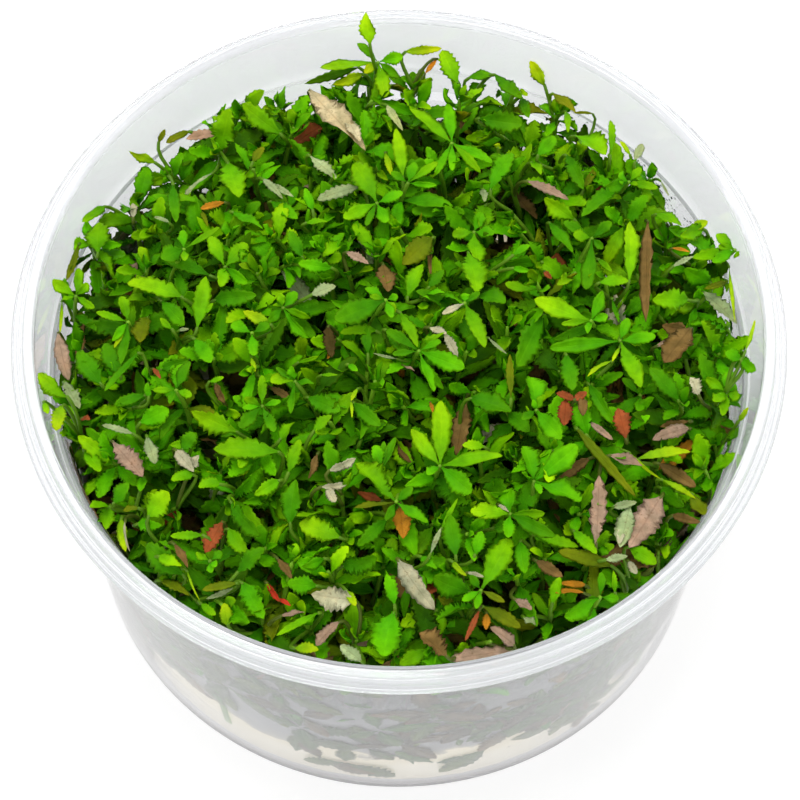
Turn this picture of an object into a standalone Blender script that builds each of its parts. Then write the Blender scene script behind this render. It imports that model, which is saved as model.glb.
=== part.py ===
"""Tissue-culture plantlets of Pogostemon stellatus in an open clear plastic cup.

Metres, +Z up. The origin is the centre of the cup's underside, on the surface that the cup stands on.
"""

import math
import random

import bmesh
import bpy
from mathutils import Vector

# ---------------------------------------------------------------- driving dimensions
RIM_RADIUS = 0.0500  # outer edge of the rim
RIM_EDGE_Z = 0.0534  # height of the rim's outer edge
RIM_TOP_Z = 0.05535  # inner, upper edge of the rim
RIM_INNER_RADIUS = 0.0469  # mouth of the cup at the rim's top
SHOULDER_RADIUS = 0.0456  # inside, at the upper side of the shoulder
SHOULDER_Z = 0.0471
BORE_RADIUS = 0.0449  # inside, just below the shoulder
FLOOR_RADIUS = 0.0410  # inside, at the floor
WALL = 0.0007
FOOT_RADIUS = 0.0427  # outside, at the foot
FOOT_RING = 0.0024  # width of the ring that the cup stands on
BASE_RISE = 0.0006  # the underside inside the ring stands this much higher
FLOOR_Z = 0.0013
CUP_SEGMENTS = 56

GAP = 0.0003  # clearance between touching pieces
GEL_TOP_Z = 0.0098

PLANTLETS = 42
CANOPY_EDGE_Z = 0.0490  # leaf tips beside the wall
CANOPY_CENTRE_Z = 0.0560  # leaf tips in the middle
TALLEST_TIP = Vector((-0.0047, 0.0446, 0.0600))  # the one leaf that stands above the rim
RING_SIDES = 9
SEED = 20


# ---------------------------------------------------------------- helpers
def clear_scene():
    for obj in list(bpy.data.objects):
        bpy.data.objects.remove(obj, do_unlink=True)


def principled(name, colour, roughness, transmission=0.0, metallic=0.0):
    material = bpy.data.materials.new(name)
    material.use_nodes = True
    shader = material.node_tree.nodes["Principled BSDF"]
    shader.inputs["Base Color"].default_value = (*colour, 1.0)
    shader.inputs["Roughness"].default_value = roughness
    shader.inputs["Metallic"].default_value = metallic
    shader.inputs["Transmission Weight"].default_value = transmission
    return material


def add_object(name, bm, material, smooth=False):
    bmesh.ops.recalc_face_normals(bm, faces=bm.faces)
    mesh = bpy.data.meshes.new(name)
    bm.to_mesh(mesh)
    bm.free()
    if smooth:
        mesh.shade_smooth()
        mesh.set_sharp_from_angle(angle=math.radians(35))
    mesh.materials.append(material)
    obj = bpy.data.objects.new(name, mesh)
    bpy.context.scene.collection.objects.link(obj)
    return obj


def turned(name, profile, segments, material):
    """A body of revolution from a profile of (radius, height) points; its two ends lie on the axis."""
    bm = bmesh.new()
    points = [bm.verts.new((r, 0.0, z)) for r, z in profile]
    edges = [bm.edges.new(pair) for pair in zip(points, points[1:])]
    bmesh.ops.spin(
        bm,
        geom=points + edges,
        axis=(0, 0, 1),
        cent=(0, 0, 0),
        angle=2 * math.pi,
        steps=segments,
        use_merge=True,
    )
    bmesh.ops.remove_doubles(bm, verts=bm.verts, dist=1e-6)
    return add_object(name, bm, material, smooth=True)


def lower_bore(z):
    """Inside radius of the tapered wall below the shoulder."""
    share = (z - FLOOR_Z) / (SHOULDER_Z - FLOOR_Z)
    return FLOOR_RADIUS + 0.0009 + (BORE_RADIUS - FLOOR_RADIUS - 0.0009) * share


# ---------------------------------------------------------------- the cup
def make_cup():
    outer_at_shoulder = BORE_RADIUS + WALL
    profile = [
        # underside, from the axis to the ring that it stands on
        (0.0, BASE_RISE),
        (FOOT_RADIUS - 0.0012 - FOOT_RING - 0.0006, BASE_RISE),
        (FOOT_RADIUS - 0.0012 - FOOT_RING, 0.0),
        (FOOT_RADIUS - 0.0012, 0.0),
        (FOOT_RADIUS - 0.0004, 0.0004),
        (FOOT_RADIUS, 0.0013),
        # outer wall up to the shoulder
        (outer_at_shoulder, SHOULDER_Z - 0.0012),
        (SHOULDER_RADIUS + WALL, SHOULDER_Z + 0.0002),
        # up under the rim, and out to its skirt
        (RIM_INNER_RADIUS + 0.0005, RIM_TOP_Z - 0.0011),
        (RIM_RADIUS - 0.0014, RIM_TOP_Z - 0.0016),
        (RIM_RADIUS - 0.0008, RIM_EDGE_Z - 0.0005),
        (RIM_RADIUS - 0.0002, RIM_EDGE_Z - 0.0006),
        (RIM_RADIUS, RIM_EDGE_Z),
        # two fine steps up to the rim's crowned top
        (RIM_RADIUS - 0.0002, RIM_EDGE_Z + 0.0004),
        (RIM_RADIUS - 0.0005, RIM_EDGE_Z + 0.0006),
        (RIM_RADIUS - 0.0006, RIM_EDGE_Z + 0.0010),
        (RIM_RADIUS - 0.0010, RIM_EDGE_Z + 0.0015),
        (RIM_RADIUS - 0.0018, RIM_TOP_Z),
        (RIM_INNER_RADIUS + 0.0003, RIM_TOP_Z + 0.0001),
        (RIM_INNER_RADIUS, RIM_TOP_Z - 0.0003),
        # inside: down to the shoulder, over it, and down to the floor
        (SHOULDER_RADIUS, SHOULDER_Z),
        (BORE_RADIUS, SHOULDER_Z - 0.0007),
        (lower_bore(FLOOR_Z + 0.0008), FLOOR_Z + 0.0008),
        (FLOOR_RADIUS, FLOOR_Z),
        (0.0, FLOOR_Z),
    ]
    plastic = principled("clear_plastic", (0.93, 0.94, 0.94), 0.12, transmission=0.9)
    return turned("cup", profile, CUP_SEGMENTS, plastic)


# ---------------------------------------------------------------- the gel
def make_gel():
    bottom = FLOOR_Z + GAP
    profile = [
        (0.0, bottom),
        (FLOOR_RADIUS - 0.0004, bottom),
        (lower_bore(bottom + 0.0012) - 0.0005, bottom + 0.0012),
        (lower_bore(GEL_TOP_Z) - 0.0005, GEL_TOP_Z),
        (lower_bore(GEL_TOP_Z) - 0.0030, GEL_TOP_Z - 0.0004),
        (0.0, GEL_TOP_Z - 0.0004),
    ]
    gel = principled("culture_gel", (0.80, 0.76, 0.64), 0.25)
    return turned("gel", profile, CUP_SEGMENTS, gel)


# ---------------------------------------------------------------- the plantlets
def seeds(count, radius):
    """Feet of the plantlets, spread evenly in a sunflower spiral and pushed a little off it."""
    chance = random.Random(SEED)
    golden = math.pi * (3 - math.sqrt(5))
    found = []
    for i in range(count):
        r = radius * math.sqrt((i + 0.5) / count)
        a = i * golden
        found.append(
            Vector(
                (
                    r * math.cos(a) + chance.uniform(-0.0011, 0.0011),
                    r * math.sin(a) + chance.uniform(-0.0011, 0.0011),
                )
            )
        )
    return found


def clipped(polygon, point, normal):
    """The part of a convex polygon behind the line through point."""
    kept = []
    for a, b in zip(polygon, polygon[1:] + polygon[:1]):
        da, db = (a - point).dot(normal), (b - point).dot(normal)
        if da <= 0:
            kept.append(a)
        if (da < 0) != (db < 0) and da != db:
            kept.append(a.lerp(b, da / (da - db)))
    return kept


def cell_of(index, centres, radius):
    """The space of one plantlet: nearer to its foot than to any other, less half the clearance."""
    polygon = [
        Vector((radius * math.cos(a), radius * math.sin(a)))
        for a in (2 * math.pi * k / 48 for k in range(48))
    ]
    own = centres[index]
    for other_index, other in enumerate(centres):
        if other_index == index:
            continue
        away = (other - own).normalized()
        middle = (own + other) / 2 - away * (GAP * 0.75)
        polygon = clipped(polygon, middle, away)
    return polygon


def reach(polygon, start, direction):
    """Distance from a point inside a convex polygon to its edge."""
    best = 1.0
    for a, b in zip(polygon, polygon[1:] + polygon[:1]):
        edge = b - a
        cross = direction.x * edge.y - direction.y * edge.x
        if abs(cross) < 1e-12:
            continue
        gap = a - start
        t = (gap.x * edge.y - gap.y * edge.x) / cross
        s = (gap.x * direction.y - gap.y * direction.x) / cross
        if t > 0 and -1e-6 <= s <= 1 + 1e-6:
            best = min(best, t)
    return best


def canopy(point):
    """Height of the leaf tips over a place in the cup."""
    share = min(1.0, point.length / BORE_RADIUS)
    return CANOPY_CENTRE_Z + (CANOPY_EDGE_Z - CANOPY_CENTRE_Z) * share**2.2


def make_plantlet(index, centres, chance):
    """A bushy column, wide at each whorl of leaves and narrow between them, that fills its own space."""
    own = centres[index]
    polygon = cell_of(index, centres, BORE_RADIUS + 0.0004)
    foot = GEL_TOP_Z + GAP
    top = canopy(own) + chance.uniform(-0.0022, 0.0022)
    middle = sum(polygon, Vector((0.0, 0.0))) / len(polygon)
    if (TALLEST_TIP.xy - own).length == min((TALLEST_TIP.xy - c).length for c in centres):
        top = TALLEST_TIP.z
    tiers = [
        (0.00, 0.55),
        (0.16, 0.92),
        (0.30, 0.76),
        (0.46, 1.00),
        (0.58, 0.82),
        (0.74, 1.00),
        (0.86, 0.98),
        (0.95, 0.78),
        (1.00, 0.26),
    ]
    bm = bmesh.new()
    loops = []
    start = chance.uniform(0, 2 * math.pi)
    for share, width in tiers:
        z = foot + (top - foot) * share
        limit = lower_bore(min(z, SHOULDER_Z)) - 0.0006
        width *= chance.uniform(0.95, 1.0)
        centre = own.lerp(middle, 0.8)
        ring = []
        for side in range(RING_SIDES):
            a = start + 2 * math.pi * side / RING_SIDES
            way = Vector((math.cos(a), math.sin(a)))
            place = centre + way * reach(polygon, centre, way) * width * (
                chance.uniform(0.93, 1.0) if share else 1.0
            )
            if place.length > limit:
                place *= limit / place.length
            lift = chance.uniform(-0.0006, 0.0006) if 0 < share < 1 else 0.0
            ring.append(bm.verts.new((place.x, place.y, z + lift)))
        loops.append([bm.edges.new((a, b)) for a, b in zip(ring, ring[1:] + ring[:1])])
        if share in (0.0, 1.0):
            bm.faces.new(ring)
    for lower, upper in zip(loops, loops[1:]):
        bmesh.ops.bridge_loops(bm, edges=lower + upper)
    bmesh.ops.triangulate(bm, faces=bm.faces)
    green = chance.uniform(0.85, 1.15)
    leaf = principled(
        f"leaves_{index + 1:02d}", (0.10 * green, 0.30 * green, 0.015), 0.45
    )
    return add_object(f"plantlet_{index + 1:02d}", bm, leaf)


def main():
    clear_scene()
    make_cup()
    make_gel()
    centres = seeds(PLANTLETS, BORE_RADIUS - 0.0010)
    chance = random.Random(SEED + 1)
    for index in range(PLANTLETS):
        make_plantlet(index, centres, chance)


main()
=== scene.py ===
import math

import bpy
import numpy as np
from mathutils import Matrix, Vector


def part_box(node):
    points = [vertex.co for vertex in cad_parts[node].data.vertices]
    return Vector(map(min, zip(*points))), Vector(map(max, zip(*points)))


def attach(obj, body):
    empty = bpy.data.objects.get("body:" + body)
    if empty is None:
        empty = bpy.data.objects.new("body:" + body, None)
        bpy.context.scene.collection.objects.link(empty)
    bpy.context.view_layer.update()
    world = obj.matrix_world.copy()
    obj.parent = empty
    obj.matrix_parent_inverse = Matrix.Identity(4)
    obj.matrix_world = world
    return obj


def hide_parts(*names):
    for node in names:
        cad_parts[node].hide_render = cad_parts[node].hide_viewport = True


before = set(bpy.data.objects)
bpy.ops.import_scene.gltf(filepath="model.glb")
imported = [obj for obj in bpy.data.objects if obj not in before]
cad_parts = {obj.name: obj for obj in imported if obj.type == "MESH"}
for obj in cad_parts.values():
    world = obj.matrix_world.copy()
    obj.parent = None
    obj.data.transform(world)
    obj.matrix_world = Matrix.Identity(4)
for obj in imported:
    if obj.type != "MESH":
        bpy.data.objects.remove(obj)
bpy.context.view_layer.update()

MM = 0.001
rng = np.random.default_rng(11)

# ------------------------------------------------------------------ sizes, in millimetres
RIM_R, RIM_EDGE_Z, RIM_TOP_Z, RIM_IN_R = 50.0, 53.4, 55.35, 46.9
SHOULDER_R, SHOULDER_Z, BORE_R = 45.6, 47.1, 44.9
FLOOR_R, WALL, FOOT_R, FLOOR_Z, BASE_RISE = 41.0, 0.7, 42.7, 1.3, 0.6
GEL_TOP = 9.8


def lower_bore(z):
    share = (z - FLOOR_Z) / (SHOULDER_Z - FLOOR_Z)
    return FLOOR_R + 0.9 + (BORE_R - FLOOR_R - 0.9) * share


def inside_radius(z):
    """Radius of the free space inside the cup at height z; over the rim it opens quickly."""
    z = np.asarray(z, float)
    low = lower_bore(np.minimum(z, SHOULDER_Z - 0.7))
    mid = BORE_R + (SHOULDER_R - BORE_R) * np.clip((z - SHOULDER_Z + 0.7) / 0.7, 0, 1)
    high = SHOULDER_R + (RIM_IN_R - SHOULDER_R) * np.clip((z - SHOULDER_Z) / (RIM_TOP_Z - SHOULDER_Z), 0, 1)
    over = RIM_IN_R + np.clip(z - RIM_TOP_Z - 0.3, 0, None) * 3.0
    return np.where(z < SHOULDER_Z - 0.7, low, np.where(z < SHOULDER_Z, mid, np.where(z < RIM_TOP_Z + 0.3, high, over)))


# ------------------------------------------------------------------ camera
TARGET = np.array([0.2, -9.75, 53.4])
DISTANCE, ELEVATION, ROLL, FOCAL_PX = 400.0, math.radians(62.7), math.radians(0.71), 3139.0
EYE = TARGET + DISTANCE * np.array([0.0, -math.cos(ELEVATION), math.sin(ELEVATION)])
FORWARD = (TARGET - EYE) / DISTANCE
_right = np.array([1.0, 0.0, 0.0])
_up = np.cross(_right, FORWARD)
RIGHT = math.cos(ROLL) * _right + math.sin(ROLL) * _up
UP = -math.sin(ROLL) * _right + math.cos(ROLL) * _up


def make_camera():
    data = bpy.data.cameras.new("camera")
    data.lens, data.sensor_width = FOCAL_PX / 800 * 36.0, 36.0
    data.clip_start, data.clip_end = 0.01, 10.0
    camera = bpy.data.objects.new("camera", data)
    turn = Matrix((RIGHT, UP, -FORWARD)).transposed()
    camera.matrix_world = Matrix.Translation(Vector(EYE * MM)) @ turn.to_4x4()
    bpy.context.scene.collection.objects.link(camera)
    bpy.context.scene.camera = camera


def at_pixel(px, py, z):
    """The point of height z, in mm, that the camera sees at a pixel of the 800 x 800 picture."""
    way = FORWARD + RIGHT * (px - 400) / FOCAL_PX + UP * (400 - py) / FOCAL_PX
    return EYE + way * (z - EYE[2]) / way[2]


def pixel_of(points):
    d = points - EYE
    depth = d @ FORWARD
    return np.stack([400 + FOCAL_PX * (d @ RIGHT) / depth, 400 - FOCAL_PX * (d @ UP) / depth], -1), depth


# ------------------------------------------------------------------ node helpers
def linear(*rgb):
    """sRGB 0..255 to linear."""
    c = np.array(rgb, float) / 255
    return np.where(c <= 0.04045, c / 12.92, ((c + 0.055) / 1.055) ** 2.4)


class Nodes:
    def __init__(self, name):
        self.material = bpy.data.materials.new(name)
        self.material.use_nodes = True
        self.tree = self.material.node_tree
        self.tree.nodes.clear()
        self.output = self.tree.nodes.new("ShaderNodeOutputMaterial")

    def add(self, kind, inputs=None, **settings):
        node = self.tree.nodes.new(kind)
        for key, value in settings.items():
            setattr(node, key, value)
        for key, value in (inputs or {}).items():
            socket = node.inputs[key]
            if isinstance(value, bpy.types.NodeSocket):
                self.tree.links.new(value, socket)
            else:
                socket.default_value = value
        return node

    def math(self, operation, a, b=0.0, c=0.0, clamp=False):
        return self.add("ShaderNodeMath", {0: a, 1: b, 2: c}, operation=operation, use_clamp=clamp).outputs[0]

    def noise(self, scale, detail=2.0, roughness=0.5, vector=None, distortion=0.0):
        inputs = {"Scale": scale, "Detail": detail, "Roughness": roughness, "Distortion": distortion}
        if vector is not None:
            inputs["Vector"] = vector
        return self.add("ShaderNodeTexNoise", inputs)

    def ramp(self, value, stops, interpolation="LINEAR"):
        node = self.add("ShaderNodeValToRGB", {"Fac": value})
        ramp = node.color_ramp
        ramp.interpolation = interpolation
        while len(ramp.elements) < len(stops):
            ramp.elements.new(0.5)
        for element, (place, colour) in zip(ramp.elements, stops):
            element.position = place
            element.color = (*colour, 1.0) if len(colour) == 3 else colour
        return node.outputs["Color"]

    def mix(self, factor, a, b, blend="MIX"):
        node = self.add("ShaderNodeMix", data_type="RGBA", blend_type=blend)
        for index, value in ((0, factor), (6, a), (7, b)):
            if isinstance(value, bpy.types.NodeSocket):
                self.tree.links.new(value, node.inputs[index])
            elif index:
                node.inputs[index].default_value = (*value, 1.0) if len(value) == 3 else value
            else:
                node.inputs[index].default_value = value
        return node.outputs[2]

    def surface(self, socket):
        self.tree.links.new(socket, self.output.inputs["Surface"])
        return self.material


# ------------------------------------------------------------------ materials
def leaf_material():
    n = Nodes("leaf")
    colour = n.add("ShaderNodeAttribute", attribute_name="tint").outputs["Color"]
    place = n.add("ShaderNodeSeparateXYZ", {0: n.add("ShaderNodeAttribute", attribute_name="leafspace").outputs["Vector"]})
    along, across, old = place.outputs[0], place.outputs[1], place.outputs[2]
    side = n.math("ABSOLUTE", across)
    where = n.add("ShaderNodeTexCoord").outputs["Object"]
    # blotches of lighter and darker tissue
    blotch = n.noise(700.0, 3.0, 0.55, where).outputs["Fac"]
    tone = n.ramp(blotch, [(0.25, (0.70, 0.74, 0.70)), (0.52, (1.0, 1.0, 1.0)), (0.8, (1.28, 1.18, 1.1))])
    colour = n.mix(1.0, colour, tone, "MULTIPLY")
    # painted shade and light: the blade is painted deeper green at its base, as in shade, and lighter and yellower
    # towards its tip, where light shines through it
    fade = n.ramp(along, [(0.0, (0.40, 0.60, 0.60)), (0.35, (0.74, 0.88, 0.80)), (0.78, (1.22, 1.12, 0.70)), (1.0, (1.50, 1.24, 0.60))])
    colour = n.mix(n.math("SUBTRACT", 1.0, n.math("MULTIPLY", old, 0.95)), colour, n.mix(1.0, colour, fade, "MULTIPLY"))
    # side veins run forwards from the midrib
    vein_phase = n.math("SUBTRACT", n.math("MULTIPLY", along, 7.0), n.math("MULTIPLY", side, 1.1))
    vein = n.math("ABSOLUTE", n.math("SUBTRACT", n.math("FRACT", vein_phase), 0.5))
    vein = n.math("SUBTRACT", 1.0, n.math("MULTIPLY", vein, 9.0), clamp=True)
    rib = n.math("SUBTRACT", 1.0, n.math("MULTIPLY", side, 9.0), clamp=True)
    lines = n.math("MAXIMUM", rib, n.math("MULTIPLY", vein, 0.45))
    lighter = n.mix(1.0, colour, (1.35, 1.22, 1.6), "MULTIPLY")
    darker = n.mix(1.0, colour, (0.52, 0.44, 0.38), "MULTIPLY")
    colour = n.mix(n.math("MULTIPLY", lines, 0.42), colour, n.mix(old, lighter, darker))
    # painted light: the margin is a little yellower, as where light shines through the thin edge
    edge = n.math("MULTIPLY", n.math("POWER", side, 5.0), 0.14)
    colour = n.mix(n.math("MULTIPLY", edge, n.math("SUBTRACT", 1.0, old)), colour, (0.30, 0.44, 0.01))
    # old leaves carry pale streaks, brown specks and faded patches
    faded = n.ramp(n.noise(420.0, 3.0, 0.6, where).outputs["Fac"], [(0.50, (0, 0, 0)), (0.66, (1, 1, 1))])
    faded = n.math("MULTIPLY", faded, n.math("MULTIPLY", n.math("SUBTRACT", old, 0.6, clamp=True), 1.1))
    colour = n.mix(faded, colour, n.mix(1.0, colour, (1.7, 1.75, 1.9), "MULTIPLY"))
    speck = n.noise(2600.0, 2.0, 0.6, where).outputs["Fac"]
    speck = n.math("MULTIPLY", n.ramp(speck, [(0.60, (0, 0, 0)), (0.68, (1, 1, 1))]), n.math("MULTIPLY", old, 0.45))
    colour = n.mix(speck, colour, (0.17, 0.09, 0.03))
    grain = n.noise(3500.0, 3.0, 0.6, where).outputs["Fac"]
    height = n.math("ADD", n.math("MULTIPLY", lines, -0.8), n.math("MULTIPLY", grain, 0.5))
    bump = n.add("ShaderNodeBump", {"Height": height, "Strength": 0.4, "Distance": 0.00012}).outputs[0]
    rough = n.math("ADD", 0.40, n.math("MULTIPLY", grain, 0.22))
    shader = n.add(
        "ShaderNodeBsdfPrincipled",
        {"Base Color": colour, "Roughness": rough, "Normal": bump, "IOR": 1.40, "Specular IOR Level": 0.07},
    )
    return n.surface(shader.outputs[0])


def stem_material():
    n = Nodes("stem")
    colour = n.add("ShaderNodeAttribute", attribute_name="tint").outputs["Color"]
    where = n.add("ShaderNodeTexCoord").outputs["Object"]
    streak = n.add("ShaderNodeMapping", {"Vector": where, "Scale": (900.0, 900.0, 120.0)}).outputs[0]
    tone = n.noise(1.0, 3.0, 0.6, streak).outputs["Fac"]
    colour = n.mix(1.0, colour, n.ramp(tone, [(0.3, (0.70, 0.74, 0.66)), (0.6, (1, 1, 1)), (0.8, (1.2, 1.15, 1.05))]), "MULTIPLY")
    bump = n.add("ShaderNodeBump", {"Height": tone, "Strength": 0.4, "Distance": 0.0001}).outputs[0]
    shader = n.add(
        "ShaderNodeBsdfPrincipled",
        {"Base Color": colour, "Roughness": n.math("ADD", 0.38, n.math("MULTIPLY", tone, 0.2)), "Normal": bump, "Specular IOR Level": 0.35},
    )
    return n.surface(shader.outputs[0])


def plastic_material(name, weight, rough, strength, glow):
    n = Nodes(name)
    where = n.add("ShaderNodeTexCoord").outputs["Object"]
    flow = n.noise(55.0, 3.0, 0.5, where).outputs["Fac"]
    fine = n.noise(600.0, 2.0, 0.5, where).outputs["Fac"]
    colour = n.ramp(flow, [(0.3, (0.905, 0.915, 0.935)), (0.7, (0.94, 0.95, 0.965))])
    # painted shade: the plastic is made greyer over its lowest 4.5 mm, at the thick corner of the foot
    height = n.math("MULTIPLY", n.add("ShaderNodeSeparateXYZ", {0: where}).outputs[2], 200.0)
    colour = n.mix(1.0, colour, n.ramp(height, [(0.0, (0.74, 0.72, 0.72)), (0.68, (0.78, 0.765, 0.76)), (0.90, (1.0, 1.0, 1.0))]), "MULTIPLY")
    bump = n.add(
        "ShaderNodeBump", {"Height": n.math("ADD", flow, n.math("MULTIPLY", fine, 0.05)), "Strength": strength, "Distance": 0.0008}
    ).outputs[0]
    shader = n.add(
        "ShaderNodeBsdfPrincipled",
        {
            "Base Color": colour,
            "Roughness": n.math("ADD", rough, n.math("MULTIPLY", fine, rough)),
            "Normal": bump,
            "IOR": 1.49,
            "Transmission Weight": weight,
            # painted light: the plastic sends out a faint light of its own, as strong as glow
            "Emission Color": (0.97, 0.98, 1.0, 1.0),
            "Emission Strength": glow,
        },
    )
    through = n.add("ShaderNodeBsdfTransparent", {"Color": (0.95, 0.955, 0.96, 1.0)})
    lamps = n.add("ShaderNodeLightPath").outputs["Is Shadow Ray"]
    return n.surface(n.add("ShaderNodeMixShader", {0: lamps, 1: shader.outputs[0], 2: through.outputs[0]}).outputs[0])


def moisture_material():
    n = Nodes("moisture")
    where = n.add("ShaderNodeTexCoord").outputs["Object"]
    cloud = n.noise(120.0, 4.0, 0.6, where).outputs["Fac"]
    fine = n.noise(1500.0, 2.0, 0.5, where).outputs["Fac"]
    height = n.math("MULTIPLY", n.add("ShaderNodeSeparateXYZ", {0: where}).outputs[2], 1000.0)
    low = n.add("ShaderNodeMapRange", {"Value": height, "From Min": 24.0, "From Max": 40.5, "To Min": 0.52, "To Max": 0.06}).outputs[0]
    amount = n.math("MULTIPLY", low, n.math("ADD", 0.72, n.math("MULTIPLY", cloud, 0.56)), clamp=True)
    # gel clings to the wall in an uneven edge over its level
    uneven = n.noise(95.0, 3.0, 0.6, where).outputs["Fac"]
    ragged = n.math("SUBTRACT", height, n.math("MULTIPLY", uneven, 24.0))
    cling = n.add("ShaderNodeMapRange", {"Value": ragged, "From Min": 1.0, "From Max": 3.2, "To Min": 1.0, "To Max": 0.0}).outputs[0]
    amount = n.math("MAXIMUM", amount, n.math("MULTIPLY", cling, 0.80))
    colour = n.ramp(fine, [(0.3, (0.90, 0.89, 0.90)), (0.7, (0.96, 0.95, 0.96))])
    shader = n.add(
        "ShaderNodeBsdfPrincipled",
        {
            "Base Color": n.mix(cling, colour, (0.91, 0.86, 0.73)),
            "Roughness": 0.6,
            "Specular IOR Level": 0.1,
            # painted light: where gel clings to the film it sends out a cream light of its own
            "Emission Color": (0.90, 0.80, 0.58, 1.0),
            "Emission Strength": n.math("MULTIPLY", cling, 0.34),
        },
    )
    clear = n.add("ShaderNodeBsdfTransparent", {"Color": (1.0, 1.0, 1.0, 1.0)})
    return n.surface(n.add("ShaderNodeMixShader", {0: amount, 1: clear.outputs[0], 2: shader.outputs[0]}).outputs[0])


def gel_material():
    n = Nodes("culture_gel")
    where = n.add("ShaderNodeTexCoord").outputs["Object"]
    cloud = n.noise(70.0, 4.0, 0.55, where).outputs["Fac"]
    fine = n.noise(420.0, 3.0, 0.6, where).outputs["Fac"]
    facing = n.add("ShaderNodeSeparateXYZ", {0: n.add("ShaderNodeNewGeometry").outputs["True Normal"]}).outputs[2]
    colour = n.ramp(cloud, [(0.3, (0.86, 0.80, 0.64)), (0.55, (0.91, 0.86, 0.73)), (0.8, (0.94, 0.90, 0.80))])
    # painted shade: the upward face of the gel is painted darker and browner, as in the shade under the leaves
    top = n.math("MULTIPLY", n.math("SUBTRACT", facing, 0.5), 2.0, clamp=True)
    colour = n.mix(top, colour, n.mix(1.0, colour, (0.36, 0.40, 0.24), "MULTIPLY"))
    bump = n.add("ShaderNodeBump", {"Height": n.math("ADD", cloud, n.math("MULTIPLY", fine, 0.3)), "Strength": 0.5, "Distance": 0.0005}).outputs[0]
    shader = n.add(
        "ShaderNodeBsdfPrincipled",
        {
            "Base Color": colour,
            "Roughness": n.math("ADD", 0.14, n.math("MULTIPLY", fine, 0.2)),
            "Normal": bump,
            "IOR": 1.34,
            "Coat Weight": 0.3,
            # painted light: the sides of the gel send out a cream light of their own, none on its top
            "Emission Color": (0.90, 0.80, 0.58, 1.0),
            "Emission Strength": n.math("MULTIPLY", n.math("SUBTRACT", 1.0, n.math("ABSOLUTE", facing), clamp=True), 0.38),
        },
    )
    return n.surface(shader.outputs[0])


def floor_material():
    n = Nodes("floor_white")
    where = n.add("ShaderNodeTexCoord").outputs["Object"]
    tone = n.ramp(n.noise(30.0, 2.0, 0.5, where).outputs["Fac"], [(0.3, (0.36, 0.36, 0.36)), (0.7, (0.38, 0.38, 0.38))])
    shader = n.add(
        "ShaderNodeBsdfPrincipled",
        {"Base Color": tone, "Roughness": 0.9, "Specular IOR Level": 0.1, "Emission Color": (1, 1, 1, 1), "Emission Strength": 0.74},
    )
    return n.surface(shader.outputs[0])


# ------------------------------------------------------------------ mesh helpers
def mesh_object(name, verts, loops, starts, materials, face_material=None, tint=None, space=None, smooth=True):
    mesh = bpy.data.meshes.new(name)
    mesh.vertices.add(len(verts))
    mesh.vertices.foreach_set("co", np.ascontiguousarray(verts * MM, np.float32).ravel())
    mesh.loops.add(len(loops))
    mesh.loops.foreach_set("vertex_index", np.ascontiguousarray(loops, np.int32))
    mesh.polygons.add(len(starts))
    mesh.polygons.foreach_set("loop_start", np.ascontiguousarray(starts, np.int32))
    for material in materials:
        mesh.materials.append(material)
    if face_material is not None:
        mesh.polygons.foreach_set("material_index", np.ascontiguousarray(face_material, np.int32))
    mesh.update(calc_edges=True)
    mesh.validate()
    if tint is not None:
        layer = mesh.attributes.new("tint", "FLOAT_COLOR", "POINT")
        layer.data.foreach_set("color", np.ascontiguousarray(np.concatenate([tint, np.ones((len(tint), 1))], 1), np.float32).ravel())
    if space is not None:
        layer = mesh.attributes.new("leafspace", "FLOAT_VECTOR", "POINT")
        layer.data.foreach_set("vector", np.ascontiguousarray(space, np.float32).ravel())
    if smooth:
        mesh.shade_smooth()
    obj = bpy.data.objects.new(name, mesh)
    bpy.context.scene.collection.objects.link(obj)
    return obj


class Heap:
    """Gathers small closed bodies for one joined mesh."""

    def __init__(self):
        self.verts, self.loops, self.sizes, self.kind, self.tint, self.space, self.count = [], [], [], [], [], [], 0

    def put(self, verts, faces, sizes, tint, space, kind):
        """verts (n, k, 3) of n like bodies with k points each; faces: loop indices of one body, with its face sizes."""
        n, k = verts.shape[:2]
        offset = self.count + np.arange(n)[:, None] * k
        self.verts.append(verts.reshape(-1, 3))
        self.loops.append((offset + faces[None]).ravel())
        self.sizes.append(np.tile(sizes, n))
        self.kind.append(np.full(n * len(sizes), kind))
        self.tint.append(tint.reshape(-1, 3))
        self.space.append(space.reshape(-1, 3))
        self.count += n * k

    def build(self, name, materials):
        sizes = np.concatenate(self.sizes)
        starts = np.concatenate([[0], np.cumsum(sizes)[:-1]])
        return mesh_object(
            name,
            np.concatenate(self.verts),
            np.concatenate(self.loops),
            starts,
            materials,
            np.concatenate(self.kind),
            np.concatenate(self.tint),
            np.concatenate(self.space),
        )


def turned(name, profile, segments, material):
    """A closed body of revolution, its profile's two ends on the axis."""
    ring = np.array(profile[1:-1], float)
    k = len(ring)
    angle = 2 * math.pi * np.arange(segments) / segments
    verts = np.stack(
        [ring[None, :, 0] * np.cos(angle)[:, None], ring[None, :, 0] * np.sin(angle)[:, None], np.repeat(ring[None, :, 1], segments, 0)], -1
    ).reshape(-1, 3)
    verts = np.concatenate([verts, [[0, 0, profile[0][1]], [0, 0, profile[-1][1]]]])
    first, last = len(verts) - 2, len(verts) - 1
    s = np.arange(segments)
    t = (s + 1) % segments
    i = np.arange(k - 1)
    quads = np.stack(
        [s[:, None] * k + i, t[:, None] * k + i, t[:, None] * k + i + 1, s[:, None] * k + i + 1], -1
    ).reshape(-1, 4)
    bottom = np.stack([np.full(segments, first), t * k, s * k], -1)
    top = np.stack([np.full(segments, last), s * k + k - 1, t * k + k - 1], -1)
    loops = np.concatenate([quads.ravel(), bottom.ravel(), top.ravel()])
    sizes = np.concatenate([np.full(len(quads), 4), np.full(2 * segments, 3)])
    starts = np.concatenate([[0], np.cumsum(sizes)[:-1]])
    obj = mesh_object(name, verts, loops, starts, [material])
    obj.data.set_sharp_from_angle(angle=math.radians(40))
    return obj


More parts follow.
